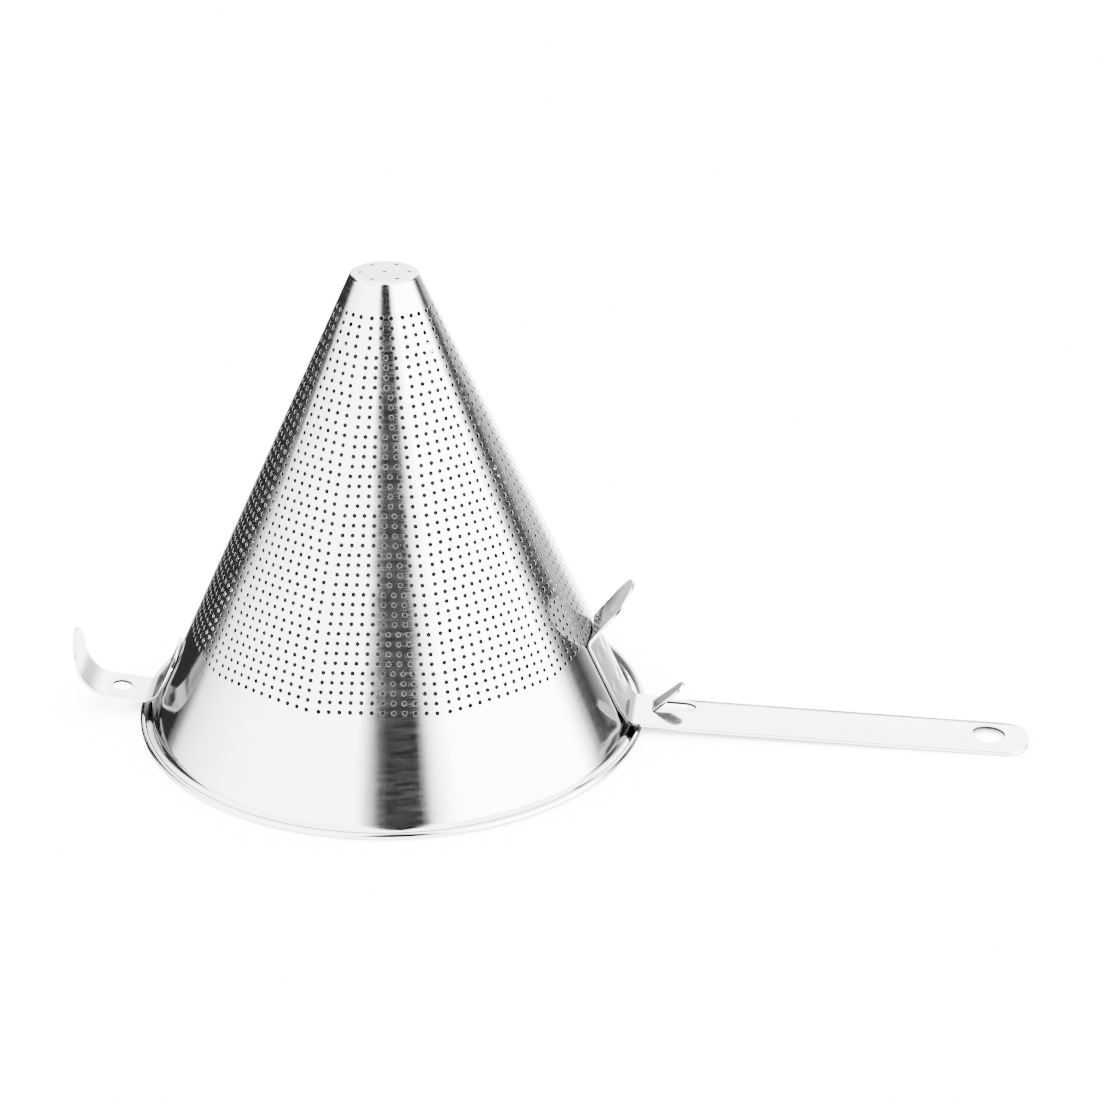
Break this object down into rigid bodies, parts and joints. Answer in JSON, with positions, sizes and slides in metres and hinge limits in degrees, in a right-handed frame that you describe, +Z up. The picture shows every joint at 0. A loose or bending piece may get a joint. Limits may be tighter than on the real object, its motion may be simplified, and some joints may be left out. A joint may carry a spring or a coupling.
{
  "type": "chinois strainer",
  "caption": "Stainless steel chinois: a perforated cone with a rolled rim, a welded strap handle with a hanging hole, and a curled pot hook opposite.",
  "frame": {"origin": "on the cone's axis, in the plane that the rolled rim rests on", "axes": "+Z up along the cone's axis to its tip, +X along the handle, +Y to the left of the handle seen from the tip"},
  "size_m": [0.4487, 0.2398, 0.2172],
  "materials": {
    "sheet": "satin with fine circular brush lines",
    "strap": "bright satin",
    "weld": "dull, as welded"
  },
  "bodies": {
    "root": {"strainer_cone": "sheet", "handle_strap": "strap", "pot_hook": "strap", "handle_spot_welds": "weld", "hook_spot_welds": "weld"}
  },
  "joints": []
}
